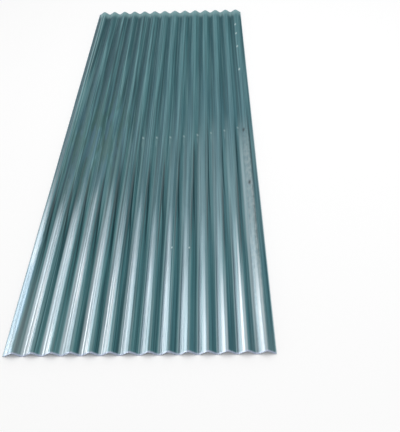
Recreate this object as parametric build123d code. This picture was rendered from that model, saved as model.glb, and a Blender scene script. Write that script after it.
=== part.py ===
"""A corrugated fibreglass sheet: one laminated piece, waved across its width and straight along its length.

The sheet lies on its valleys. X runs across the waves, Y along them, and Z is up. The origin is below the
middle of the sheet, on the surface that it lies on.
"""

import os
from math import atan2, cos, degrees, sin

from build123d import *

# Driving sizes, in millimetres
pitch = 76.2  # from one crest to the next
depth = 19.0  # from the bottom of a valley to the top of a crest, both on the same face
thickness = 2.0
sheet_length = 3048.0
corrugations = 14  # whole waves, from one long edge at a valley to the other

# How round the wave is: 0 would be a zigzag of straight flanks, 1 a wave of arcs with no flank between them
roundness_share = 0.3

# The mid-line of the laminate is a chain of equal arcs at crests and valleys, joined by tangent straight flanks
width = corrugations * pitch
half_pitch = pitch / 2
zigzag_slope = atan2(depth, half_pitch)
flank_slope = zigzag_slope * (1 + roundness_share)
bend_radius = (half_pitch * sin(flank_slope) - depth * cos(flank_slope)) / (2 * (1 - cos(flank_slope)))
flank_length = (half_pitch - 2 * bend_radius * sin(flank_slope)) / cos(flank_slope)
valley_height = thickness / 2
crest_height = valley_height + depth
last_bend = 2 * corrugations


def bend(index, above):
    """The arc of one face at one bend, from left to right. Even bends are valleys and odd ones are crests.

    The arc keeps the mid-line's centre, and its radius differs by half the thickness, so that the laminate
    has the same thickness all round the wave. The first and last valleys are cut in half by the long edges.
    """
    x = index * half_pitch - width / 2
    turn = degrees(flank_slope)
    before = 0 if index == 0 else turn
    after = 0 if index == last_bend else turn
    if index % 2:
        centre = (x, crest_height - bend_radius)
        return CenterArc(centre, bend_radius + above, 90 + before, -before - after)
    centre = (x, valley_height + bend_radius)
    return CenterArc(centre, bend_radius - above, 270 - before, before + after)


def face_line(above):
    """The whole outline of one face, this far above the mid-line: every bend, with the flanks between them."""
    bends = [bend(index, above) for index in range(last_bend + 1)]
    flanks = [Line(left @ 1, right @ 0) for left, right in zip(bends, bends[1:])]
    return bends, flanks


def section():
    """The sheet's cross-section: its upper and lower faces, closed by the two upright long edges."""
    upper_bends, upper_flanks = face_line(thickness / 2)
    lower_bends, lower_flanks = face_line(-thickness / 2)
    left_edge = Line(lower_bends[0] @ 0, upper_bends[0] @ 0)
    right_edge = Line(lower_bends[-1] @ 1, upper_bends[-1] @ 1)
    outline = upper_bends + upper_flanks + lower_bends + lower_flanks + [left_edge, right_edge]
    return Plane.XZ * make_face(outline)


def corrugated_sheet():
    """The section carried along the whole length, half of it each way from the middle."""
    return extrude(section(), amount=sheet_length / 2, both=True)


os.makedirs("parts", exist_ok=True)
export_step(corrugated_sheet(), "parts/corrugated_sheet.step")
print(f"width {width:.1f}, height {crest_height + thickness / 2:.1f}, length {sheet_length:.1f} mm")
print(f"bend radius {bend_radius:.2f}, flank {flank_length:.2f} mm at {degrees(flank_slope):.1f} degrees")
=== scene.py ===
# %% [markdown]
# # A corrugated fibreglass roofing sheet
#
# The real sheet is one laminate: chopped glass strand in blue-green polyester resin, cured over a waved
# former and trimmed square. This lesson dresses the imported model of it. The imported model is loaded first,
# because every size below is either read from it or has to agree with it.

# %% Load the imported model
import math

import bpy
import numpy as np
from mathutils import Matrix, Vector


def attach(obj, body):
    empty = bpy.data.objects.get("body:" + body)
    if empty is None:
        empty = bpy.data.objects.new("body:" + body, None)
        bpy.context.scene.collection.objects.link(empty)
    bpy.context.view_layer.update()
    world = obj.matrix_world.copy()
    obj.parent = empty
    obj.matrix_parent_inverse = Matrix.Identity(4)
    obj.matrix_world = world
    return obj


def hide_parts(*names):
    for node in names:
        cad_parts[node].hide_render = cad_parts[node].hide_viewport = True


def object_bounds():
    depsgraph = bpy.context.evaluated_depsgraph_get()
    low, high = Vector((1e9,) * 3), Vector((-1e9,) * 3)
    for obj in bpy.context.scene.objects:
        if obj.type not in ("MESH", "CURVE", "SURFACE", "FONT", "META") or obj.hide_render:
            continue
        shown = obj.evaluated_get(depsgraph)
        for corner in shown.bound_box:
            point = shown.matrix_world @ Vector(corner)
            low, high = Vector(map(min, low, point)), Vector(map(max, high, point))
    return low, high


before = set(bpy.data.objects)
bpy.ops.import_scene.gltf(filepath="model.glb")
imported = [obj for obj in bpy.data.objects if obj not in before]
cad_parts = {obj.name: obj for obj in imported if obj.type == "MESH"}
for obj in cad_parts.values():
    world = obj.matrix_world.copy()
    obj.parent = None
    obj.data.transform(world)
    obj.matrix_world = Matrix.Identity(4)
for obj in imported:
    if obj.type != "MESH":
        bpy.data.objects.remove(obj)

cad_low, cad_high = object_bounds()
print("packed nodes:", sorted(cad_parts))
print("packed size in metres:", [round(high - low, 4) for low, high in zip(cad_low, cad_high)])

# %% [markdown]
# ## The wave
#
# Fourteen waves span the sheet, from a valley at one long edge to a valley at the other. Each half wave is
# an arc that turns up out of the valley, a short straight flank, and an arc that turns flat at the crest. A
# sine would look alike from afar, but its flanks are never straight, so gloss would not lie on them in the
# clean bands that the real sheet shows.

# %% The sizes of the wave
MM = 0.001
CORRUGATIONS = 14
DEPTH = 19 * MM
THICKNESS = 2 * MM
ROUNDNESS_SHARE = 0.3  # 0 is a zigzag, 1 a wave of arcs alone

LEFT, RIGHT = cad_low.x, cad_high.x
NEAR, FAR = cad_low.y, cad_high.y
WIDTH, LENGTH = RIGHT - LEFT, FAR - NEAR
PITCH = WIDTH / CORRUGATIONS
HALF_PITCH = PITCH / 2
FLANK_SLOPE = math.atan2(DEPTH, HALF_PITCH) * (1 + ROUNDNESS_SHARE)
ACROSS_FLANK = HALF_PITCH * math.sin(FLANK_SLOPE) - DEPTH * math.cos(FLANK_SLOPE)
BEND_RADIUS = ACROSS_FLANK / (2 * (1 - math.cos(FLANK_SLOPE)))
FLANK = (HALF_PITCH - 2 * BEND_RADIUS * math.sin(FLANK_SLOPE)) / math.cos(FLANK_SLOPE)
HALF_RUN = 2 * BEND_RADIUS * FLANK_SLOPE + FLANK
print(f"pitch {PITCH / MM:.1f} mm, bend radius {BEND_RADIUS / MM:.1f} mm, flank {FLANK / MM:.1f} mm, "
      f"{HALF_RUN / MM:.1f} mm of laminate in each half wave")


# %% The mid-line as a formula
def mid_line(run):
    """The laminate's mid-line, for an array of distances measured along it from the left edge.

    Within one rising half wave the slope is the distance over the bend radius, but never more than the
    flank's slope, and it falls in the same way towards the crest, so the slope is the smaller of the two. x
    and z add up both arcs and the flank between them. A falling half wave is the same, measured back from
    its far end. Returns x, z and the slope angle, in metres and radians.
    """
    half_wave = np.clip(np.floor(run / HALF_RUN), 0, 2 * CORRUGATIONS - 1)
    rising = half_wave % 2 == 0
    along = run - half_wave * HALF_RUN
    along = np.where(rising, along, HALF_RUN - along)
    out_of_valley = np.clip(along / BEND_RADIUS, 0, FLANK_SLOPE)
    into_crest = np.clip((HALF_RUN - along) / BEND_RADIUS, 0, FLANK_SLOPE)
    on_flank = np.clip(along - BEND_RADIUS * FLANK_SLOPE, 0, FLANK)
    sin_top, cos_top = math.sin(FLANK_SLOPE), math.cos(FLANK_SLOPE)
    x = BEND_RADIUS * (np.sin(out_of_valley) + sin_top - np.sin(into_crest)) + on_flank * cos_top
    z = BEND_RADIUS * (1 - np.cos(out_of_valley) + np.cos(into_crest) - cos_top) + on_flank * sin_top
    slope = np.minimum(out_of_valley, into_crest)
    x = np.where(rising, x, HALF_PITCH - x) + half_wave * HALF_PITCH + LEFT
    return x, z + THICKNESS / 2, np.where(rising, slope, -slope)


check_x, check_z, check_slope = mid_line(np.array([0, HALF_RUN, 2 * CORRUGATIONS * HALF_RUN]))
print("at the left edge, the first crest and the right edge: x", np.round(check_x, 4),
      "z", np.round(check_z, 4), "slope", np.round(check_slope, 4))

# %% [markdown]
# ## The sheet
#
# The sheet is a surface of two parameters: the distance across, measured along the laminate, and the place
# along the length. Both faces are the mid-line moved out along its normal by half the thickness. Near the
# cut edges that half thickness shrinks as a small round does, and narrow strips join the two faces, so the
# shell is closed. A real sheet is never dead straight. It was pulled off its former warm, so it bows by a
# fraction of a millimetre along its length, and the film over the wet resin was drawn on by hand, so each
# flank leans a degree or two more or less than its neighbour. Both are sums of sines added to the surface.
# They are too small to see as shape, but they make the long reflections wander, and that is what tells the
# eye that the waves are real.

# %% Helpers for grids
ROUND_STATIONS = np.array([0, 0.1, 0.35, 0.65, 1, 2.2])  # in radii of the round, from the edge


def stations(length, inner_count, round_radius):
    """Places from 0 to length: even ones inside, and a few near both ends to carry a small round there."""
    near_end = ROUND_STATIONS * round_radius
    inner = np.linspace(0, length, inner_count + 1)[1:-1]
    return np.concatenate([near_end, inner, length - near_end[::-1]])


def edge_loss(place, length, round_radius):
    """The half thickness that a round of that radius takes off, by place: a quarter circle at both ends."""
    inside = np.clip(np.minimum(place, length - place), 0, round_radius)
    return round_radius - np.sqrt(np.clip(round_radius**2 - (round_radius - inside) ** 2, 0, None))


def smooth_waves(x, y, seed, count, shortest, longest, across):
    """Gentle unevenness between -1 and 1: a sum of sines along y, each with its own wavelength and phase,
    and each shifted along by the place across."""
    draw = np.random.default_rng(seed)
    total = np.zeros(np.broadcast(x, y).shape)
    for _ in range(count):
        wavelength = draw.uniform(shortest, longest)
        drift = draw.uniform(-1, 1) / across
        total += np.sin(2 * math.pi * (y / wavelength + x * drift + draw.uniform(0, 1)))
    return total / count


print(len(ROUND_STATIONS), "stations close to each edge carry its round")

# %% How uneven the sheet is
STEPS_IN_HALF_WAVE, ALONG_STEPS = 14, 84
EDGE_ROUND = 0.35 * MM
BOW_SEED, BOW_SINES, RIPPLE_SEED, RIPPLE_SINES = 7, 5, 11, 9
BOW, BOW_ACROSS, BOW_SHORTEST, BOW_LONGEST = 0.45 * MM, 0.35, 0.5, 1.6
RIPPLE, RIPPLE_ACROSS, RIPPLE_SHORTEST, RIPPLE_LONGEST = 1.4 * MM, 0.06, 0.4, 1.3

run = stations(2 * CORRUGATIONS * HALF_RUN, 2 * CORRUGATIONS * STEPS_IN_HALF_WAVE, EDGE_ROUND)
down = stations(LENGTH, ALONG_STEPS, EDGE_ROUND)
line_x, line_z, line_slope = mid_line(run)
half = THICKNESS / 2 - np.maximum(edge_loss(run, run[-1], EDGE_ROUND)[None, :],
                                  edge_loss(down, LENGTH, EDGE_ROUND)[:, None])
row_y = (NEAR + down)[:, None]
bow = BOW * smooth_waves(line_x[None, :], row_y, BOW_SEED, BOW_SINES,
                         BOW_SHORTEST, BOW_LONGEST, BOW_ACROSS)
ripple = RIPPLE * smooth_waves(line_x[None, :], row_y, RIPPLE_SEED, RIPPLE_SINES,
                               RIPPLE_SHORTEST, RIPPLE_LONGEST, RIPPLE_ACROSS)
unevenness = bow + ripple
print(f"the sheet is uneven by up to {np.abs(unevenness).max() / MM:.1f} mm")


# %% Both faces
def face_points(side):
    """One face as a grid of points: the mid-line moved along its normal by side times the half thickness,
    plus the unevenness, which both faces share."""
    offset = side * half + unevenness
    x = line_x - np.sin(line_slope) * offset
    z = line_z + np.cos(line_slope) * offset
    return np.stack([x, np.broadcast_to(row_y, x.shape), z], axis=-1)


upper, lower = face_points(1), face_points(-1)
lift = -min(upper[..., 2].min(), lower[..., 2].min())
upper[..., 2] += lift
lower[..., 2] += lift
rows, columns = half.shape
print(f"{rows} rows of {columns} points on each face, lifted {lift / MM:.2f} mm on to the floor")


# %% Join the two faces into one closed mesh
def grid_quads(index, flip=False):
    """The quads of a grid of vertex numbers, counter-clockwise seen from where the normals point to."""
    corners = [index[:-1, :-1], index[:-1, 1:], index[1:, 1:], index[1:, :-1]]
    if flip:
        corners.reverse()
    return np.stack(corners, axis=-1).reshape(-1, 4)


def strip(first, second):
    """The quads of a strip between two lines of vertex numbers."""
    return grid_quads(np.stack([first, second]))


top_index = np.arange(rows * columns).reshape(rows, columns)
under_index = top_index + rows * columns
faces = [grid_quads(top_index), grid_quads(under_index, flip=True)]
cut = [strip(under_index[0], top_index[0]), strip(top_index[-1], under_index[-1]),
       strip(top_index[:, 0], under_index[:, 0]), strip(under_index[:, -1], top_index[:, -1])]
face_count = sum(len(part) for part in faces)
quads = np.concatenate(faces + cut)
print(len(quads), "quads close the shell,", len(quads) - face_count, "of them on its edges")


# %% The sheet as an object
def new_mesh_object(name, points, polygons):
    """A mesh object of these points and polygons, smooth shaded, with its place in its mesh."""
    mesh = bpy.data.meshes.new(name)
    mesh.from_pydata(points.reshape(-1, 3).tolist(), [], polygons.tolist())
    mesh.update()
    mesh.polygons.foreach_set("use_smooth", np.ones(len(polygons), dtype=bool))
    made = bpy.data.objects.new(name, mesh)
    bpy.context.scene.collection.objects.link(made)
    return made


points = np.concatenate([upper.reshape(-1, 3), lower.reshape(-1, 3)])
sheet = new_mesh_object("laminate_sheet", points, quads)
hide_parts("corrugated_sheet")
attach(sheet, "root")
print(f"{len(quads) * 2} triangles in the sheet")

# %% [markdown]
# ## Colours and nodes
#
# Colours are written as the eye reads them off a screen, in sRGB, and one function turns them to the linear
# values that light adds up in. One more adds a node with its settings and its inputs, so that each material
# below reads as a list of what is in the real finish.


# %% A colour as light
def colour(hex_code):
    """An sRGB hex colour as linear red, green, blue and alpha: the sRGB curve undone channel by channel."""
    parts = [int(hex_code[i:i + 2], 16) / 255 for i in (1, 3, 5)]
    return [c / 12.92 if c <= 0.04045 else ((c + 0.055) / 1.055) ** 2.4 for c in parts] + [1.0]


print("half way up the sRGB scale is", round(colour("#808080")[0], 3), "of the light")


# %% Helpers for nodes and materials
def add(tree, kind, inputs=None, **settings):
    """A node of that kind with its settings. Each input is a value, or another node's output, or a node,
    which stands for its first output. Inputs are named by their label or their number."""
    node = tree.nodes.new(kind)
    for key, value in settings.items():
        setattr(node, key, value)
    for key, value in (inputs or {}).items():
        if isinstance(value, bpy.types.Node):
            value = value.outputs[0]
        if isinstance(value, bpy.types.NodeSocket):
            tree.links.new(value, node.inputs[key])
        else:
            node.inputs[key].default_value = value
    return node


def new_material(name):
    """A material of that name with an empty node tree."""
    material = bpy.data.materials.new(name)
    material.use_nodes = True
    material.node_tree.nodes.clear()
    return material


# %% [markdown]
# ## The laminate: places on the sheet
#
# Polyester glass-fibre laminate is tinted resin around clear glass strand. One tree of nodes makes it, and
# the next cells add to that tree step by step. It reads Object coordinates, which are metres on the sheet,
# so every pattern has a real size. This cell works out where a point is: which wave it is on, how far from
# the crest, and how far along. Straight limits would look ruled, so a slow noise shifts them by a hand's
# breadth from wave to wave.

# %% A helper for noises of a real size
MATH, MIX, RANGE = "ShaderNodeMath", "ShaderNodeMix", "ShaderNodeMapRange"
NOISE, MAPPING = "ShaderNodeTexNoise", "ShaderNodeMapping"


def noise_of_size(tree, place, size, detail, roughness=0.5, turn=0.0):
    """A noise from 0 to 1 with spots of that size across, along and through the sheet: the place is turned
    back by turn, divided by the size, and read in a noise that has detail finer ones on top."""
    local = add(tree, MAPPING, {0: place, 2: (0, 0, turn), 3: size}, vector_type="TEXTURE")
    return add(tree, NOISE, {0: local, "Scale": 1.0, "Detail": detail, "Roughness": roughness})


# %% Which wave, how far from its crest, how far along
DRIFT_SIZE = (120 * MM, 500 * MM, 1.0)
DRIFT = 0.5  # in metres, and half of it on average
FAR_HALF_LEAN = -1.0  # metres along the sheet for each metre across it

laminate = new_material("polyester_glass_laminate")
resin = laminate.node_tree
place = add(resin, "ShaderNodeTexCoord").outputs["Object"]
axes = add(resin, "ShaderNodeSeparateXYZ", {0: place})
across, along = axes.outputs["X"], axes.outputs["Y"]

# counts the waves: 0 on the first crest and 13 on the last
wave_count = add(resin, MATH, {0: across, 1: 1 / PITCH, 2: -LEFT / PITCH - 0.5},
                 operation="MULTIPLY_ADD")
# from -0.5 in the valley on the left, over 0 on the crest, to 0.5 in the valley on the right
beside = add(resin, MATH, {0: wave_count, 1: 0.5, 2: -0.5}, operation="WRAP")

drift = noise_of_size(resin, place, DRIFT_SIZE, detail=2.0)
drifted = add(resin, MATH, {0: drift, 1: DRIFT, 2: along}, operation="MULTIPLY_ADD")
# on the left the far half's marks, painted shade among them, reach further towards the near end
far_half_reach = add(resin, MATH, {0: across, 1: FAR_HALF_LEAN, 2: drifted}, operation="MULTIPLY_ADD")
print("the sheet is", round(LENGTH, 3), "m long, and its crests are", round(PITCH / MM, 1), "mm apart")

# %% [markdown]
# ## Masks
#
# A mask is a number from 0 to 1 that says how much of a finish lies at a point. A finish often lies where
# two masks meet, such as "in the valleys" and "in the far half", and then they are multiplied. So all the
# masks are made here and kept under plain names. Limits are smooth steps, because nothing on a weathered
# sheet ends at a line.


# %% Helpers for masks
def band(tree, value, centre, half_width, core=0.0):
    """A soft stripe: 1 within core of centre, and falling in a smooth step to 0 at half_width from it."""
    offset = add(tree, MATH, {0: value, 1: centre}, operation="SUBTRACT")
    offset = add(tree, MATH, {0: offset}, operation="ABSOLUTE")
    return add(tree, RANGE, {0: offset, 1: core, 2: half_width, 3: 1.0, 4: 0.0},
               interpolation_type="SMOOTHSTEP")


def stripe(tree, centre, half_width, core):
    """A soft stripe along every wave. Its centre is so many waves, up to 0.5, to the right of the crest."""
    from_crest = add(tree, MATH, {0: wave_count, 1: 0.5 + centre, 2: -0.5 + centre}, operation="WRAP")
    return band(tree, from_crest, centre, half_width, core)


def spot(tree, centre, half_sizes):
    """A soft oval: 1 at its centre, 0 at half_sizes from it across and along the sheet."""
    local = add(tree, MAPPING, {0: place, 1: (*centre, 0.0), 3: (*half_sizes, 1.0)},
                vector_type="TEXTURE")
    flat = add(tree, "ShaderNodeVectorMath", {0: local, 1: (1.0, 1.0, 0.0)}, operation="MULTIPLY")
    far_off = add(tree, "ShaderNodeVectorMath", {0: flat}, operation="LENGTH").outputs["Value"]
    return add(tree, RANGE, {0: far_off, 1: 0.0, 2: 1.0, 3: 1.0, 4: 0.0},
               interpolation_type="SMOOTHSTEP")


masks = {}

# %% Regions of the sheet
# across and along it, in metres from its middle; first those that rise from 0 to 1, then those with two sides
for name, value, zero_at, one_at in (
        ("left waves", across, 0.05, -0.30),
        ("not right waves", across, 0.32, 0.08),
        ("outer left waves", across, -0.25, -0.42),
        ("outer right waves", across, 0.15, 0.40),
        ("not left waves", across, -0.36, 0.02),
        ("right waves", across, -0.10, 0.30),
        ("highlight waves", across, 0.02, -0.30),
        ("thread waves", across, 0.0, -0.20),
        ("far half", far_half_reach, 0.10, 0.95),
        ("far end", drifted, 0.60, 1.30),
        ("beyond the middle", drifted, -0.35, 0.20),
        ("dull", drifted, -0.50, 0.50),
        ("highlight length", drifted, -0.10, -0.90),
        ("thread length", drifted, -0.60, -1.00),
        ("near part", drifted, -0.40, -0.90),
        ("near end", drifted, -0.70, -1.20)):
    masks[name] = add(resin, RANGE, {0: value, 1: zero_at, 2: one_at}, interpolation_type="SMOOTHSTEP")
for name, value, centre, half_width, core in (
        ("middle waves", across, 0.0, 0.26, 0.07),
        ("inner left waves", across, -0.20, 0.17, 0.08),
        ("highlight's start", drifted, -0.72, 0.42, 0.15),
        ("middle length", drifted, -0.22, 0.65, 0.25),
        ("nearer length", drifted, -0.50, 0.55, 0.10),
        ("crest length", drifted, -0.45, 0.70, 0.35),
        ("darkened length", drifted, -0.62, 0.70, 0.40)):
    masks[name] = band(resin, value, centre, half_width, core)

PATCHED_CENTRE, PATCHED_HALF = (-0.34, -0.08), (0.32, 0.8)
masks["patched"] = spot(resin, PATCHED_CENTRE, PATCHED_HALF)
print(len(masks), "regions of the sheet")

# %% Stripes along the waves, measured in waves from the crest
for name, centre, half_width, core in (
        ("valley side", -0.40, 0.28, 0.08),
        ("left flank stripe", -0.32, 0.30, 0.12),
        ("left half stripe", -0.27, 0.34, 0.12),
        ("right flank stripe", 0.18, 0.24, 0.08),
        ("beside the crest", -0.14, 0.14, 0.05),
        ("shoulder", -0.12, 0.12, 0.03),
        ("valley floor", 0.50, 0.08, 0.02),
        ("highlight core", -0.27, 0.09, 0.02),
        ("crown", 0.03, 0.16, 0.06),
        ("highlight stripe", -0.20, 0.11, 0.03),
        ("highlight flank", -0.37, 0.28, 0.15),
        ("mid flank", -0.32, 0.16, 0.04),
        ("foot of the flank", -0.43, 0.10, 0.04),
        ("head of the flank", -0.07, 0.17, 0.06)):
    masks[name] = stripe(resin, centre, half_width, core)
print(len(masks), "masks with the stripes along the waves")

# %% [markdown]
# ## Layers of colour
#
# Nearly everything that the eye sees on the faces is a thin layer over the one below: resin, streaks,
# dust, chalk, specks, and painted highlights and painted shade. So each is one row of a list: its colour,
# its strength, and the masks that say where it lies. At the end a loop multiplies the masks of each row and
# mixes its colour in.
#
# The resin comes first. Its tint is a little bluer to the right, and clouded where it was thicker.

# %% Tinted resin
layers = []
TINT_LEFT, TINT_RIGHT = "#386a6e", "#406e79"
CLOUD_SIZE = (160 * MM, 420 * MM, 160 * MM)
CLOUD_FROM, CLOUD_FULL = 0.35, 0.7

tinted = add(resin, RANGE, {0: across, 1: LEFT, 2: RIGHT}, interpolation_type="SMOOTHSTEP")
tint = add(resin, MIX, {0: tinted, 6: colour(TINT_LEFT), 7: colour(TINT_RIGHT)}, data_type="RGBA").outputs[2]
clouds = noise_of_size(resin, place, CLOUD_SIZE, detail=3.0)
masks["thick resin"] = add(resin, RANGE, {0: clouds, 1: CLOUD_FROM, 2: CLOUD_FULL})
layers.append(("#48797d", 0.5, ["thick resin"]))
print("the resin is", TINT_LEFT, "on the left and", TINT_RIGHT, "on the right")

# %% [markdown]
# ## Glass strand
#
# Inside the resin lie bundles of glass, chopped to about 50 mm and strewn at random. Where many cross, they
# scatter light and look a shade paler. A bundle is about 1 mm wide, which no pixel of the picture would
# show, so they are drawn 2.5 mm wide. Each of four noises is stretched into strands and turned to its own
# direction.

# %% Glass strand
STRAND_SIZE = (2.5 * MM, 50 * MM, 1.0)
STRAND_TURNS = (12, 58, 101, 147)  # in degrees
STRAND_FROM, STRAND_FULL = 0.56, 0.68

for degrees in STRAND_TURNS:
    strand = noise_of_size(resin, place, STRAND_SIZE, detail=1.0, turn=math.radians(degrees))
    masks[f"strand {degrees}"] = add(resin, RANGE, {0: strand, 1: STRAND_FROM, 2: STRAND_FULL})
    layers.append(("#5d888c", 0.1, [f"strand {degrees}"]))
print("strand in", len(STRAND_TURNS), "directions, drawn", round(STRAND_SIZE[0] / MM, 1), "mm wide")

# %% [markdown]
# ## The far half, with painted shade and painted sheen
#
# The far half is darker in its valleys, and its crests are a paler grey-green, partly chalk and partly a
# painted sheen. Painted shade lies on the side of each wave left of its crest, so those flanks are darker
# than the others. At the far end the left waves are dark on their other flanks too. The crest mask is a
# cosine across the wave, raised to a power, so it is narrow on top, and the valley mask is what is left. In
# the middle of the sheet a paler haze lies on the right, and on the left painted shade lies just beside the
# crest.

# %% Darker valleys, chalk and painted sheen, haze, painted shade
CREST_SHIFT, CREST_NARROWING = 0.05, 1.3

turn = add(resin, MATH, {0: beside, 1: 2 * math.pi, 2: -2 * math.pi * CREST_SHIFT},
           operation="MULTIPLY_ADD")
wave = add(resin, MATH, {0: turn}, operation="COSINE")
crest = add(resin, MATH, {0: wave, 1: 0.5, 2: 0.5}, operation="MULTIPLY_ADD")
masks["crests"] = add(resin, MATH, {0: crest, 1: CREST_NARROWING}, operation="POWER")
masks["valleys"] = add(resin, MATH, {0: 1.0, 1: masks["crests"]}, operation="SUBTRACT")

# darker valleys in the far half, and paler crests there, partly chalk and partly painted sheen
layers += [("#0c3e46", 0.88, ["valleys", "far half"]),
           ("#6a9a9f", 0.40, ["crests", "far half"]),
           # painted shade on the valley sides and on the flanks left of each crest
           ("#184f57", 0.62, ["valley side", "beyond the middle"]),
           ("#10444c", 0.88, ["left flank stripe", "beyond the middle", "left waves"]),
           ("#173e46", 0.50, ["right flank stripe", "far end", "left waves"]),
           ("#1f6a72", 0.30, ["far half"]),
           # painted highlight stripe beside the crest at the far end
           ("#86b4b8", 0.35, ["highlight stripe", "far end"]),
           # a paler haze in the valleys and on the left halves of the right waves
           ("#86a6ad", 0.35, ["valleys", "middle length", "right waves"]),
           ("#8fb0b8", 0.42, ["left half stripe", "nearer length", "right waves"]),
           # painted shade beside the crest
           ("#124b54", 0.72, ["beside the crest", "crest length", "not right waves"]),
           ("#166a72", 0.35, ["crown", "crest length", "not right waves"]),
           ("#123f47", 0.30, ["crown", "middle length", "right waves"])]
print(len(layers), "layers with the darker valleys, chalk and painted sheen, haze and painted shade")

# %% [markdown]
# ## Drawn lines
#
# Lines run along the waves, because a roller drew the wet resin out that way. They are noises that are very
# long along the sheet and narrow across it, and there are three sizes of them. The finest are about 3 mm
# apart on the real sheet. Drawn so, they would vanish in the picture, so all three are wider. On the left
# they show most. Over them lies more painted shade in the far half, on the flanks left of each crest and on
# the valley sides, and a dark green film on the flanks of the patched waves.

# %% Lines in three sizes
LINES = {"broad": (18 * MM, 1.6), "middle": (10 * MM, 1.1), "fine": (5 * MM, 0.7)}  # width and length
LINE_ROUGHNESS = 0.6
DRAWN_FAINT_AT, DRAWN_FULL_AT, DRAWN_FAINT = 0.25, -0.25, 0.55

lines = {}
for name, (width, length) in LINES.items():
    lines[name] = noise_of_size(resin, place, (width, length, 1.0), detail=2.0, roughness=LINE_ROUGHNESS)
masks["drawn out"] = add(resin, RANGE,
                         {0: across, 1: DRAWN_FAINT_AT, 2: DRAWN_FULL_AT, 3: DRAWN_FAINT, 4: 1.0},
                         interpolation_type="SMOOTHSTEP")
for name, size, zero_at, one_at in (
        ("broad pale", "broad", 0.50, 0.62),
        ("dark", "middle", 0.50, 0.62),
        ("pale", "middle", 0.48, 0.38),
        ("fine dark", "fine", 0.50, 0.60)):
    masks[name] = add(resin, RANGE, {0: lines[size], 1: zero_at, 2: one_at})
layers += [("#5f8c92", 0.40, ["broad pale", "drawn out"]),
           ("#173d45", 0.70, ["dark", "drawn out"]),
           ("#719a9f", 0.50, ["pale", "drawn out"]),
           ("#1c4149", 0.35, ["fine dark", "drawn out"]),
           # painted shade on the left flanks and the valley sides in the far half
           ("#0c3a43", 0.62, ["left flank stripe", "far half", "left waves"]),
           ("#0e4048", 0.30, ["valley side", "far half"]),
           ("#1f504b", 0.60, ["left flank stripe", "patched"])]
print("lines drawn", [round(width / MM) for width, length in LINES.values()], "mm wide")

# %% [markdown]
# ## Painted dark reflection lines
#
# A thin dark line on the right flank of each wave is a painted dark reflection. It starts in the middle of
# the sheet as a fine wedge near the crest, and further up the sheet on the waves to the right. From there it
# wanders down the flank in a slow S, and fades to a quarter towards the near end. It is weaker on the right
# waves.
# A second painted dark reflection stays beside the crest and ends sooner. The first line's centre is itself
# worked out from the place along the sheet, so it can wander.

# %% The long painted dark line
LINE_NEAR, LINE_FAR = -0.86, -0.12  # between these it wanders
LINE_PLACE_NEAR, LINE_PLACE_FAR = 0.31, 0.10  # in waves from the crest
LINE_SPREAD = 0.12  # waves further out for each metre to the right
SLANT_FROM = -0.15  # the waves to the left of this start alike
LINE_SLANT = 0.8  # metres further up the sheet for each metre to the right
LINE_HALF_WIDTH = 0.08
LINE_START, LINE_WHOLE = 0.10, -0.26
LINE_END, LINE_END_SHARE, LINE_WEAKENS = -0.82, 0.25, -0.42

wandering = add(resin, RANGE, {0: drifted, 1: LINE_NEAR, 2: LINE_FAR, 3: LINE_PLACE_NEAR, 4: LINE_PLACE_FAR},
                interpolation_type="SMOOTHSTEP")
line_centre = add(resin, MATH, {0: across, 1: LINE_SPREAD, 2: wandering}, operation="MULTIPLY_ADD")
masks["dirt line"] = band(resin, beside, line_centre, LINE_HALF_WIDTH)
slanted = add(resin, MATH, {0: across, 1: SLANT_FROM}, operation="MAXIMUM")
slanted = add(resin, MATH, {0: slanted, 1: -LINE_SLANT, 2: drifted}, operation="MULTIPLY_ADD")
masks["line start"] = add(resin, RANGE, {0: slanted, 1: LINE_START, 2: LINE_WHOLE},
                          interpolation_type="SMOOTHSTEP")
masks["line end"] = add(resin, RANGE, {0: slanted, 1: LINE_END, 2: LINE_WEAKENS, 3: LINE_END_SHARE, 4: 1.0},
                        interpolation_type="SMOOTHSTEP")
# painted dark reflection on the right flanks
layers += [("#072f36", 0.82, ["dirt line", "line start", "line end"]),
           ("#072f36", 0.70, ["dirt line", "line start", "line end", "not right waves"])]
print("the dirt line moves", round((LINE_PLACE_NEAR - LINE_PLACE_FAR) * PITCH / MM), "mm from the crest")

# %% The second painted dark line
SECOND_PLACE, SECOND_HALF_WIDTH, SECOND_CORE = 0.05, 0.08, 0.02
SECOND_START, SECOND_WHOLE = -0.1, -0.4
SECOND_END, SECOND_WEAKENS = -0.9, -0.5

masks["second line"] = band(resin, beside, SECOND_PLACE, SECOND_HALF_WIDTH, SECOND_CORE)
masks["second start"] = add(resin, RANGE, {0: drifted, 1: SECOND_START, 2: SECOND_WHOLE},
                            interpolation_type="SMOOTHSTEP")
masks["second end"] = add(resin, RANGE, {0: drifted, 1: SECOND_END, 2: SECOND_WEAKENS},
                          interpolation_type="SMOOTHSTEP")
# painted dark reflection beside the crest
layers.append(("#0a353c", 0.80, ["second line", "second start", "second end"]))
print("the second line stays", round(SECOND_PLACE * PITCH / MM), "mm to the right of the crest")

# %% [markdown]
# ## Painted highlights and painted shade in the near part
#
# A pale painted highlight lies on the left flanks of the near part, most on the left waves and broken up by
# the drawn lines. On the outermost of them it starts more strongly. Painted shade lies beside it on the
# shoulders, and the valley floors of the inner left waves are darker; near the end a few stripes of painted
# highlight and painted shade set the foot, the middle and the head of each flank apart, and a painted sheen
# lies on the valley floors of the right waves. Where the painted highlight is, white painted highlight
# threads lie in it too. Each is a couple of millimetres wide and comes and goes along the flank. A thread
# that fine would not show, so it is drawn 7 mm wide, with soft sides.

# %% Painted highlight on the left flanks
HIGHLIGHT_STREAKS = (0.35, 0.6)
HIGHLIGHT_STREAK_SHARE = 0.5

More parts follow.
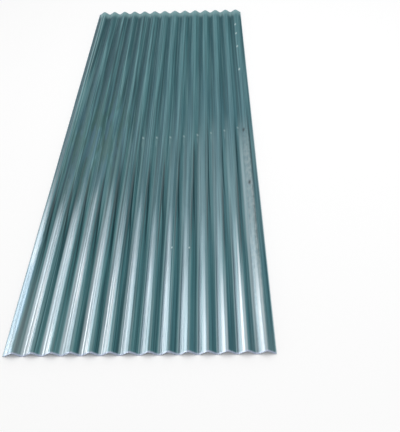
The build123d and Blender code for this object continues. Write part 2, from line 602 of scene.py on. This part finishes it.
masks["highlight streaks"] = add(resin, RANGE, {0: lines["middle"], 1: HIGHLIGHT_STREAKS[0], 2: HIGHLIGHT_STREAKS[1],
                                          3: 1.0, 4: HIGHLIGHT_STREAK_SHARE})
# painted highlight on the left flanks, stronger at its start on the outermost waves
layers += [("#dbe6ef", 0.68, ["highlight flank", "highlight length", "highlight waves", "highlight streaks"]),
           ("#b9cdd6", 0.32, ["highlight flank", "highlight's start", "outer left waves"]),
           # painted shade on the shoulders, and darker valley floors on the inner left waves
           ("#235b63", 0.70, ["shoulder", "darkened length", "not right waves"]),
           ("#123c44", 0.50, ["valley floor", "darkened length", "inner left waves"]),
           # painted sheen on the valley floors of the right waves
           ("#9db8be", 0.28, ["valley floor", "near part", "right waves"]),
           # painted highlights: a core line, the foot and the middle of the flank
           ("#d4e6ee", 0.40, ["highlight core", "highlight length", "highlight waves"]),
           ("#d4e6ee", 0.35, ["foot of the flank", "near part", "highlight waves"]),
           ("#c9d8e0", 0.60, ["mid flank", "near part", "middle waves"]),
           # painted shade at the foot of the flank, away from the left waves
           ("#1f4a56", 0.88, ["foot of the flank", "near part", "not left waves"]),
           # painted highlights at the head of the flank and a warm stripe on the outer right waves
           ("#c4d4dc", 0.50, ["head of the flank", "near end", "outer right waves"]),
           ("#fff4ee", 0.45, ["highlight stripe", "near end", "outer right waves"])]
print(len(layers), "layers with the painted highlights, painted shade and stripes beside them")

# %% Painted highlight threads
THREAD_PLACES = (-0.42, -0.27, -0.18)  # in waves from the crest
THREAD_HALF_WIDTH = 0.045
THREAD_WANDER = 0.08
THREAD_SIZE = (60 * MM, 700 * MM, 1.0)
THREAD_FROM, THREAD_FULL = 0.44, 0.56

thread_noise = noise_of_size(resin, place, THREAD_SIZE, detail=1.0)
masks["thread shown"] = add(resin, RANGE, {0: thread_noise, 1: THREAD_FROM, 2: THREAD_FULL},
                       interpolation_type="SMOOTHSTEP")
for centre in THREAD_PLACES:
    wander = add(resin, MATH, {0: drift, 1: THREAD_WANDER, 2: centre - THREAD_WANDER / 2},
                 operation="MULTIPLY_ADD")
    masks[f"crease {centre}"] = band(resin, beside, wander, THREAD_HALF_WIDTH)
    # painted highlight threads on the flank
    layers.append(("#ffffff", 0.90, [f"crease {centre}", "thread shown", "thread length", "thread waves"]))
print(len(THREAD_PLACES), "painted highlight threads on a wave, each", round(2 * THREAD_HALF_WIDTH * PITCH / MM, 1), "mm wide")

# %% [markdown]
# ## Patches, dust and painted highlights
#
# On the left lie olive and blue-grey patches, as algae and dust leave them. The outer waves carry more
# painted highlights and dust than the others. The first crest carries two thin pale painted highlights, and
# near the end the flank outside it has painted highlight blotches and is scuffed blue. A grey painted
# reflection lies in the first trough near the end. Grey dust lies on the last wave and in the trough beside
# it, and the near right corner is greyer. A white painted highlight thread and a painted dark gap beside it
# run along the left flank of the last wave but one.

# %% Olive and blue-grey patches
PATCH_SIZE = (24 * MM, 300 * MM, 1.0)
OLIVE_FROM, OLIVE_FULL = 0.50, 0.58
BLUE_FROM, BLUE_FULL = 0.48, 0.40

patches = noise_of_size(resin, place, PATCH_SIZE, detail=2.0)
masks["olive"] = add(resin, RANGE, {0: patches, 1: OLIVE_FROM, 2: OLIVE_FULL},
                     interpolation_type="SMOOTHSTEP")
masks["blue-grey"] = add(resin, RANGE, {0: patches, 1: BLUE_FROM, 2: BLUE_FULL},
                         interpolation_type="SMOOTHSTEP")
layers += [("#2c5852", 0.60, ["patched", "olive"]),
           ("#3b6577", 0.55, ["patched", "blue-grey"])]
print("patches are about", [round(size / MM) for size in PATCH_SIZE[:2]], "mm across and along")

# %% Where single waves carry painted highlights, dust and scuffs
CORNER_HALF = (0.2, 0.22)
GLINT_FROM, GLINT_FULL = -0.35, 0.5

for name, value, centre, half_width, core in (
        ("left crest glint", wave_count, -0.12, 0.06, 0.0),
        ("right crest glint", wave_count, 0.09, 0.05, 0.0),
        ("dusty wave", wave_count, 12.85, 0.36, 0.14),
        ("dusty length", along, -0.78, 0.95, 0.42),
        ("first trough", wave_count, 0.26, 0.36, 0.10),
        ("near the end", along, NEAR, 0.60, 0.0),
        ("first wave", wave_count, -0.25, 0.35, 0.15),
        ("last trough", wave_count, 12.50, 0.14, 0.04),
        ("scuffed length", along, -1.24, 0.28, 0.10),
        ("white glint thread", wave_count, 11.84, 0.07, 0.0),
        ("dark glint gap", wave_count, 11.75, 0.05, 0.0)):
    masks[name] = band(resin, value, centre, half_width, core)
masks["near right corner"] = spot(resin, (RIGHT, NEAR), CORNER_HALF)
masks["glinting length"] = add(resin, RANGE, {0: along, 1: GLINT_FROM, 2: GLINT_FULL},
                             interpolation_type="SMOOTHSTEP")
print("the painted highlights on the first crest run from", round(GLINT_FROM - NEAR, 2), "m past the near end on")

# %% Painted highlights on the first crest, dust and blotches
MOTTLE_SIZE, BLOTCH_SIZE = (14 * MM, 35 * MM, 1.0), (30 * MM, 150 * MM, 1.0)
MOTTLE_FROM, MOTTLE_FULL, MOTTLE_LEAST = 0.4, 0.6, 0.55
BLOTCH_FROM, BLOTCH_FULL = 0.48, 0.60

mottle = noise_of_size(resin, place, MOTTLE_SIZE, detail=3.0)
masks["mottle"] = add(resin, RANGE, {0: mottle, 1: MOTTLE_FROM, 2: MOTTLE_FULL, 3: MOTTLE_LEAST, 4: 1.0})
blotches = noise_of_size(resin, place, BLOTCH_SIZE, detail=2.0)
masks["blotches"] = add(resin, RANGE, {0: blotches, 1: BLOTCH_FROM, 2: BLOTCH_FULL})
# painted highlights along the first crest
layers += [("#a3c2c3", 0.55, ["left crest glint", "glinting length"]),
           ("#a3c2c3", 0.45, ["right crest glint", "glinting length"]),
           ("#9cacb0", 0.66, ["dusty wave", "dusty length", "mottle"]),
           # painted grey reflection in the first trough near the end
           ("#8b999c", 0.42, ["first trough", "near the end"]),
           ("#708488", 0.40, ["near right corner", "mottle"]),
           # painted highlight blotches on the first wave near the end
           ("#8db4c8", 0.80, ["first wave", "blotches", "near part"]),
           ("#47788e", 0.75, ["first wave", "scuffed length"]),
           ("#a3b8be", 0.45, ["last trough", "dusty length"]),
           # a painted highlight thread, and a painted dark gap beside it
           ("#ffffff", 0.55, ["white glint thread", "near part"]),
           ("#2c5560", 0.60, ["dark glint gap", "near part"])]
print(len(layers), "layers with the painted highlights, painted reflection, dust and blotches")

# %% [markdown]
# ## Specks
#
# A row of pale specks crosses the sheet, as a batten below it might leave. From the sixth wave to the last
# but one, each has one on its right flank, with a faint tail towards the near end. The row is straight for
# two waves and then curves away towards the far end. A few more specks lie along the last wave, two lie
# further down the sheet, and two dark ones are bits of bark.

# %% The row of specks
SPECK_ROW = -0.092
STRAIGHT_SPECKS = 1.7  # in waves from where the row begins
SPECK_BEND = 0.44  # metres up the sheet, times the square of the metres past the straight part
SPECK_BESIDE, SPECK_HALF_WIDTH, SPECK_HALF_LENGTH = 0.36, 0.1, 16 * MM
TAIL_MIDDLE, TAIL_HALF_LENGTH = -45 * MM, 60 * MM
FIRST_SPECK, LAST_SPECK = 4.9, 12.5  # the wave counts where the row begins and ends

bend_from = LEFT + (FIRST_SPECK + STRAIGHT_SPECKS + 0.5) * PITCH
past_straight = add(resin, MATH, {0: across, 1: bend_from}, operation="SUBTRACT")
past_straight = add(resin, MATH, {0: past_straight, 1: 0.0}, operation="MAXIMUM")
squared = add(resin, MATH, {0: past_straight, 1: past_straight}, operation="MULTIPLY")
speck_row = add(resin, MATH, {0: squared, 1: SPECK_BEND, 2: SPECK_ROW}, operation="MULTIPLY_ADD")
from_row = add(resin, MATH, {0: along, 1: speck_row}, operation="SUBTRACT")
middle_speck, speck_reach = (FIRST_SPECK + LAST_SPECK) / 2, (LAST_SPECK - FIRST_SPECK) / 2
masks["speck"] = band(resin, beside, SPECK_BESIDE, SPECK_HALF_WIDTH)
masks["speck row"] = band(resin, from_row, 0.0, SPECK_HALF_LENGTH)
masks["speck tails"] = band(resin, from_row, TAIL_MIDDLE, TAIL_HALF_LENGTH)
masks["specked waves"] = band(resin, wave_count, middle_speck, speck_reach + SPECK_HALF_WIDTH, speck_reach)
layers += [("#b4cccd", 0.62, ["speck", "speck row", "specked waves"]),
           ("#86a5a8", 0.35, ["speck", "speck tails", "specked waves"])]
first_specked, last_specked = math.ceil(FIRST_SPECK - SPECK_BESIDE), math.floor(LAST_SPECK - SPECK_BESIDE)
print("one speck on each wave from number", first_specked + 1, "to number", last_specked + 1)

# %% Spatter, pale specks and bark
SPATTER_WAVE, SPATTER, SPATTER_HALF = 12.86, (1.284, 1.142, 0.948, 0.635), (9 * MM, 22 * MM)
PALE_SPECKS, PALE_SPECK_HALF = ((0.108, -0.964), (0.187, -0.966)), (5 * MM, 9 * MM)
BARK, BARK_HALF = ((0.479, -0.039), (0.486, -0.506)), (11 * MM, 28 * MM)
SPOT_STRENGTH = 0.9

spatter_x = LEFT + (SPATTER_WAVE + 0.5) * PITCH
for kind, hex_code, half_sizes, centres in (
        ("spatter", "#c0d4d5", SPATTER_HALF, [(spatter_x, y) for y in SPATTER]),
        ("pale speck", "#c0d4d5", PALE_SPECK_HALF, PALE_SPECKS),
        ("bark", "#182629", BARK_HALF, BARK)):
    for centre in centres:
        masks[f"{kind} {centre}"] = spot(resin, centre, half_sizes)
        layers.append((hex_code, SPOT_STRENGTH, [f"{kind} {centre}"]))
print(len(SPATTER) + len(PALE_SPECKS), "pale spots and", len(BARK), "bits of bark beside the row")

# %% [markdown]
# ## The margins
#
# A saw tears glass out of the resin and whitens a few millimetres beside the cut. The far end was trimmed
# worst and is frayed pale for several centimetres. The long edges have a thinner pale line, and painted
# shade darkens the left one.

# %% Margins
CUT_MARGIN, CUT_RAGGED = 11 * MM, 6 * MM
FAR_FRAY, FRAY_RAGGED = 50 * MM, 100 * MM
SIDE_MARGIN, SHADED_SIDE = 5 * MM, 12 * MM
# a ragged margin is full a little past the end, and the painted shade a little short of the edge
CUT_FULL, FRAY_FULL, SHADE_FULL = CUT_RAGGED / 6, FRAY_RAGGED * 0.3, SHADED_SIDE / 4

from_middle = add(resin, MATH, {0: along}, operation="ABSOLUTE")
torn = add(resin, MATH, {0: lines["fine"], 1: CUT_RAGGED, 2: from_middle}, operation="MULTIPLY_ADD")
frayed = add(resin, MATH, {0: lines["middle"], 1: FRAY_RAGGED, 2: along}, operation="MULTIPLY_ADD")
from_spine = add(resin, MATH, {0: across}, operation="ABSOLUTE")
for name, value, zero_at, one_at in (
        ("cut margin", torn, FAR - CUT_MARGIN + CUT_RAGGED / 2, FAR + CUT_FULL),
        ("far fray", frayed, FAR - FAR_FRAY, FAR + FRAY_FULL),
        ("side margin", from_spine, RIGHT - SIDE_MARGIN, RIGHT),
        ("shaded side", across, LEFT + SHADED_SIDE, LEFT + SHADE_FULL)):
    masks[name] = add(resin, RANGE, {0: value, 1: zero_at, 2: one_at}, interpolation_type="SMOOTHSTEP")
layers += [("#a6afc6", 0.90, ["cut margin"]),
           ("#86abae", 0.70, ["far fray"]),
           ("#9dbcc0", 0.70, ["side margin"]),
           # painted shade along the left edge
           ("#2f545e", 0.75, ["shaded side"])]
print(round(CUT_MARGIN / MM), "mm pale beside the cuts,", round(SHADED_SIDE / MM), "mm of painted shade on the left")

# %% Lay the layers
for hex_code, strength, names in layers:
    share = strength
    for name in names:
        share = add(resin, MATH, {0: share, 1: masks[name]}, operation="MULTIPLY")
    tint = add(resin, MIX, {0: share, 6: tint, 7: colour(hex_code)}, data_type="RGBA").outputs[2]
print(len(layers), "layers of colour on the laminate, from", len(masks), "masks")

# %% [markdown]
# ## The gloss
#
# The film that the resin cured under leaves a gloss like varnish, over a body that scatters a little. So
# the shader is a soft base under a clear coat. The coat is worn off towards the far end, and thickest
# beside the crests at the near right. The drawn lines are relief as well as colour, each size of them less
# than half a millimetre high, which splits each long reflection into streaks. A bump's distance is for a
# height that goes all the way from 0 to 1. Nine tenths of such a noise, measured at 40,000 points, lie in
# the middle 0.27 of that range, so the relief is about a quarter of each distance below.

# %% Fine relief
RELIEF = {"broad": 1.6 * MM, "middle": 0.8 * MM, "fine": 0.3 * MM}
NOISE_SPREAD = 0.27

normal = None
for name, height in RELIEF.items():
    inputs = {"Strength": 1.0, "Distance": height, "Height": lines[name]}
    if normal is not None:
        inputs["Normal"] = normal
    normal = add(resin, "ShaderNodeBump", inputs)
print("the lines are about", [round(height * NOISE_SPREAD / MM, 2) for height in RELIEF.values()], "mm high")

# %% Gloss
FILM_LEFT, FILM_RIGHT, FILM_FAR = 0.38, 0.68, 0.05
FILM_SIDES = (-0.35, 0.35)
BODY_NEAR, BODY_FAR = 0.28, 0.5
RESIN_IOR, BODY_SPECULAR, FILM_ROUGHNESS = 1.5, 0.3, 0.16

film = add(resin, RANGE, {0: across, 1: FILM_SIDES[0], 2: FILM_SIDES[1], 3: FILM_LEFT, 4: FILM_RIGHT})
film = add(resin, RANGE, {0: masks["dull"], 3: film, 4: FILM_FAR})
thick_film = 1.0
for name in ("head of the flank", "near end", "right waves"):
    thick_film = add(resin, MATH, {0: thick_film, 1: masks[name]}, operation="MULTIPLY")
film = add(resin, RANGE, {0: thick_film, 3: film, 4: 1.0})
body = add(resin, RANGE, {0: masks["dull"], 3: BODY_NEAR, 4: BODY_FAR})
shader = add(resin, "ShaderNodeBsdfPrincipled",
             {"Base Color": tint, "Roughness": body, "IOR": RESIN_IOR, "Specular IOR Level": BODY_SPECULAR,
              "Normal": normal, "Coat Weight": film, "Coat Roughness": FILM_ROUGHNESS, "Coat IOR": RESIN_IOR,
              "Coat Normal": normal})
add(resin, "ShaderNodeOutputMaterial", {0: shader})
print(len(resin.nodes), "nodes in the laminate")

# %% [markdown]
# ## The sawn edge
#
# Where the sheet was sawn, bare glass and resin show. They are greyer and duller than the faces, because
# nothing seals the broken strands, and they are speckled by the bundles that were cut through. A second
# material for the four narrow strips is enough. Its noise is the size of the ends of those bundles.

# %% Material of the sawn edge
GRAIN = 1.5 * MM
EDGE_ROUGHNESS = 0.6

edge = new_material("sawn_laminate_edge")
cut_tree = edge.node_tree
cut_place = add(cut_tree, "ShaderNodeTexCoord").outputs["Object"]
grain = noise_of_size(cut_tree, cut_place, (GRAIN, GRAIN, GRAIN), detail=2.0)
cut_tint = add(cut_tree, MIX, {0: grain, 6: colour("#6f7b92"), 7: colour("#a3adc4")},
               data_type="RGBA").outputs[2]
cut_shader = add(cut_tree, "ShaderNodeBsdfPrincipled",
                 {"Base Color": cut_tint, "Roughness": EDGE_ROUGHNESS, "IOR": RESIN_IOR})
add(cut_tree, "ShaderNodeOutputMaterial", {0: cut_shader})
print("the sawn edge has", len(cut_tree.nodes), "nodes")

# %% Give each face its material
sheet.data.materials.append(laminate)
sheet.data.materials.append(edge)
slots = np.zeros(len(quads), dtype=np.int32)
slots[face_count:] = 1
sheet.data.polygons.foreach_set("material_index", slots)
print(int((slots == 0).sum()), "quads of laminate and", int(slots.sum()), "quads of sawn edge")

# %% [markdown]
# ## The floor
#
# The sheet lies on a plain pale floor, which takes its soft shadow. A floor that simply ended would cut a
# grey line across the picture, and one that went on would turn grey far away. So this one is wide, and
# further out the eye sees it fade to the white of the room. Only what is seen fades: as light falls on it,
# it stays a matt floor.

# %% Helpers for what stands around the sheet
def rectangle(name, corners, material):
    """A rectangle through four corners, with one material."""
    made = new_mesh_object(name, np.array(corners, dtype=float), np.array([[0, 1, 2, 3]]))
    made.data.materials.append(material)
    return made


def seen_by_the_eye(tree):
    """1 where a ray comes from the eye, straight or by way of gloss or glass, and 0 where it carries light
    to a matt surface: the largest of three marks that are each 0 or 1."""
    ray = add(tree, "ShaderNodeLightPath").outputs
    seen = add(tree, MATH, {0: ray["Is Camera Ray"], 1: ray["Is Glossy Ray"]}, operation="MAXIMUM")
    return add(tree, MATH, {0: seen, 1: ray["Is Transmission Ray"]}, operation="MAXIMUM")


# %% Floor
FLOOR_HALF = 40.0
FADE_FROM, FADE_TO = 2.2, 5.5  # metres from the middle of the sheet

matt = new_material("pale_matt_floor")
ground = matt.node_tree
ground_place = add(ground, "ShaderNodeTexCoord").outputs["Object"]
from_sheet = add(ground, "ShaderNodeVectorMath", {0: ground_place}, operation="LENGTH").outputs["Value"]
far_off = add(ground, RANGE, {0: from_sheet, 1: FADE_FROM, 2: FADE_TO}, interpolation_type="SMOOTHSTEP")
white_share = add(ground, MATH, {0: far_off, 1: seen_by_the_eye(ground)}, operation="MULTIPLY")
paint = add(ground, "ShaderNodeBsdfPrincipled",
            {"Base Color": colour("#fcfcfc"), "Roughness": 1.0, "Specular IOR Level": 0.0})
white = add(ground, "ShaderNodeEmission", {"Color": colour("#ffffff"), "Strength": 1.0})
surface = add(ground, "ShaderNodeMixShader", {0: white_share, 1: paint, 2: white})
add(ground, "ShaderNodeOutputMaterial", {0: surface})

rectangle("floor", [[-FLOOR_HALF, -FLOOR_HALF, 0], [FLOOR_HALF, -FLOOR_HALF, 0],
                    [FLOOR_HALF, FLOOR_HALF, 0], [-FLOOR_HALF, FLOOR_HALF, 0]], matt)
print("the floor fades to white between", FADE_FROM, "and", FADE_TO, "m")

# %% [markdown]
# ## The window
#
# Gloss shows only what it mirrors. In the photo one pale band runs along each wave, on its left flank,
# strongest near the eye. Such a flank leans about 34 degrees, so it mirrors whatever stands to the left,
# beyond the far half of the sheet. That is where the window stands. It leans in towards the sheet, and it
# dims towards its far edge and its top, so the bands start softly on the left waves and reach further
# along them than on the right.

# %% Window
WINDOW_FOOT, WINDOW_HEAD = (-7.5, 0.05), (-3.0, 9.0)  # x and z of its lower and its upper edge
WINDOW_NEAR, WINDOW_FAR = 0.0, 9.0
FADE_ALONG, FADE_UP = (3.2, 7.2), (4.0, 8.5)
WINDOW_STRENGTH = 10.0

glass = new_material("diffused_window")
pane = glass.node_tree
pane_place = add(pane, "ShaderNodeTexCoord").outputs["Object"]
pane_axes = add(pane, "ShaderNodeSeparateXYZ", {0: pane_place}).outputs
glow = WINDOW_STRENGTH
for axis, (bright_until, dark_from) in (("Y", FADE_ALONG), ("Z", FADE_UP)):
    fade = add(pane, RANGE, {0: pane_axes[axis], 1: bright_until, 2: dark_from, 3: 1.0, 4: 0.0},
               interpolation_type="SMOOTHSTEP")
    glow = add(pane, MATH, {0: fade, 1: glow}, operation="MULTIPLY")
daylight = add(pane, "ShaderNodeEmission", {"Color": colour("#e6f5ff"), "Strength": glow})
add(pane, "ShaderNodeOutputMaterial", {0: daylight})

(foot_x, foot_z), (head_x, head_z) = WINDOW_FOOT, WINDOW_HEAD
window = rectangle("window", [[foot_x, WINDOW_NEAR, foot_z], [foot_x, WINDOW_FAR, foot_z],
                              [head_x, WINDOW_FAR, head_z], [head_x, WINDOW_NEAR, head_z]], glass)
window.visible_camera = window.visible_diffuse = False
print("the window leans", round(math.degrees(math.atan2(head_x - foot_x, head_z - foot_z))), "degrees")

# %% [markdown]
# ## The drapes
#
# In a white room every flank would mirror something bright, and the waves would lose their dark sides.
# Black cloth on all four sides takes that away, as it does in a studio. Only gloss meets it. The
# eye, the shadows and the light on matt surfaces pass through it. It stands highest on the right, and above
# it the gloss still finds the white room.

# %% Drapes
DRAPE_HALF = 9.0
LOW_DRAPE, LEFT_DRAPE, RIGHT_DRAPE = 3.0, 4.0, 7.5
FRONT_Y, BACK_Y, LEFT_X, RIGHT_X = 8.0, -8.0, -12.0, 6.0

cloth = new_material("black_drape")
fibre = add(cloth.node_tree, "ShaderNodeBsdfPrincipled",
            {"Base Color": colour("#101010"), "Roughness": 1.0})
add(cloth.node_tree, "ShaderNodeOutputMaterial", {0: fibre})

for name, (x_from, y_from), (x_to, y_to), height in (
        ("drape_front", (-DRAPE_HALF, FRONT_Y), (DRAPE_HALF, FRONT_Y), LOW_DRAPE),
        ("drape_back", (-DRAPE_HALF, BACK_Y), (DRAPE_HALF, BACK_Y), LOW_DRAPE),
        ("drape_left", (LEFT_X, -DRAPE_HALF), (LEFT_X, DRAPE_HALF), LEFT_DRAPE),
        ("drape_right", (RIGHT_X, -DRAPE_HALF), (RIGHT_X, DRAPE_HALF), RIGHT_DRAPE)):
    corners = [[x_from, y_from, 0], [x_to, y_to, 0], [x_to, y_to, height], [x_from, y_from, height]]
    drape = rectangle(name, corners, cloth)
    drape.visible_camera = drape.visible_diffuse = drape.visible_shadow = drape.visible_transmission = False
print("drapes of", LOW_DRAPE, "to", RIGHT_DRAPE, "m stand around the sheet")

# %% [markdown]
# ## Light from above
#
# Besides the window the sheet is lit evenly: by one large soft lamp overhead and by the white room. The
# lamp gives the shallow shadow under the edges. The room is a shade darker for the light that it sheds than
# for the eye, which keeps the background white and the sheet at a plain level.

# %% Lamp overhead
LAMP_PLACE, LAMP_SIZE = (0.8, 0.5, 5.0), 5.0
RADIANCE = 1.0

lamp = bpy.data.lights.new("overhead", "AREA")
lamp.shape, lamp.size = "SQUARE", LAMP_SIZE
lamp.energy = RADIANCE * math.pi * LAMP_SIZE ** 2  # an area lamp shines down its own -Z
overhead = bpy.data.objects.new("overhead", lamp)
overhead.location = LAMP_PLACE
overhead.visible_camera = False
bpy.context.scene.collection.objects.link(overhead)
print("the lamp gives", round(lamp.energy), "W")

# %% White room
SHED, SHOWN = 0.8, 1.0

room = bpy.data.worlds.new("white_room")
bpy.context.scene.world = room
room.use_nodes = True
sky = room.node_tree
sky.nodes.clear()
strength = add(sky, RANGE, {0: seen_by_the_eye(sky), 3: SHED, 4: SHOWN})
shade = add(sky, "ShaderNodeBackground", {"Color": colour("#ffffff"), "Strength": strength})
add(sky, "ShaderNodeOutputWorld", {0: shade})
print("the room sheds", SHED, "and shows", SHOWN)

# %% [markdown]
# ## The camera
#
# The eye is about two metres up, beyond the near end and a little to the right. It looks down along the
# sheet. The photo was taken slightly askew, so the camera is rolled by the same small angle. Its three
# axes are worked out from the angles and put into one matrix, because that leaves no doubt about the order
# of the turns.

# %% Camera
CAMERA_PLACE = (0.286, -2.856, 1.979)
LOOK_DOWN, HEADING, ROLL = math.radians(43.0), math.radians(1.4), math.radians(-1.8)
LENS, SENSOR = 50.0, 36.0


def camera_matrix(place, look_down, heading, roll):
    """The camera's axes: it looks along +Y, turned left by heading and then down, and rolled about that."""
    level = math.cos(look_down)
    forward = np.array([-math.sin(heading) * level, math.cos(heading) * level, -math.sin(look_down)])
    right = np.cross(forward, [0, 0, 1])
    right /= np.linalg.norm(right)
    up = np.cross(right, forward)
    matrix = np.eye(4)
    matrix[:3, 0] = math.cos(roll) * right + math.sin(roll) * up
    matrix[:3, 1] = -math.sin(roll) * right + math.cos(roll) * up
    matrix[:3, 2] = -forward
    matrix[:3, 3] = place
    return Matrix(matrix.tolist())


camera_data = bpy.data.cameras.new("camera")
camera_data.lens, camera_data.sensor_width = LENS, SENSOR
camera = bpy.data.objects.new("camera", camera_data)
camera.matrix_world = camera_matrix(CAMERA_PLACE, LOOK_DOWN, HEADING, ROLL)
bpy.context.scene.collection.objects.link(camera)
bpy.context.scene.camera = camera
bpy.context.scene.view_settings.view_transform = "Standard"
print("the camera is", round(CAMERA_PLACE[2], 2), "m up, and the near end is",
      round(NEAR - CAMERA_PLACE[1], 2), "m away from it along the floor")
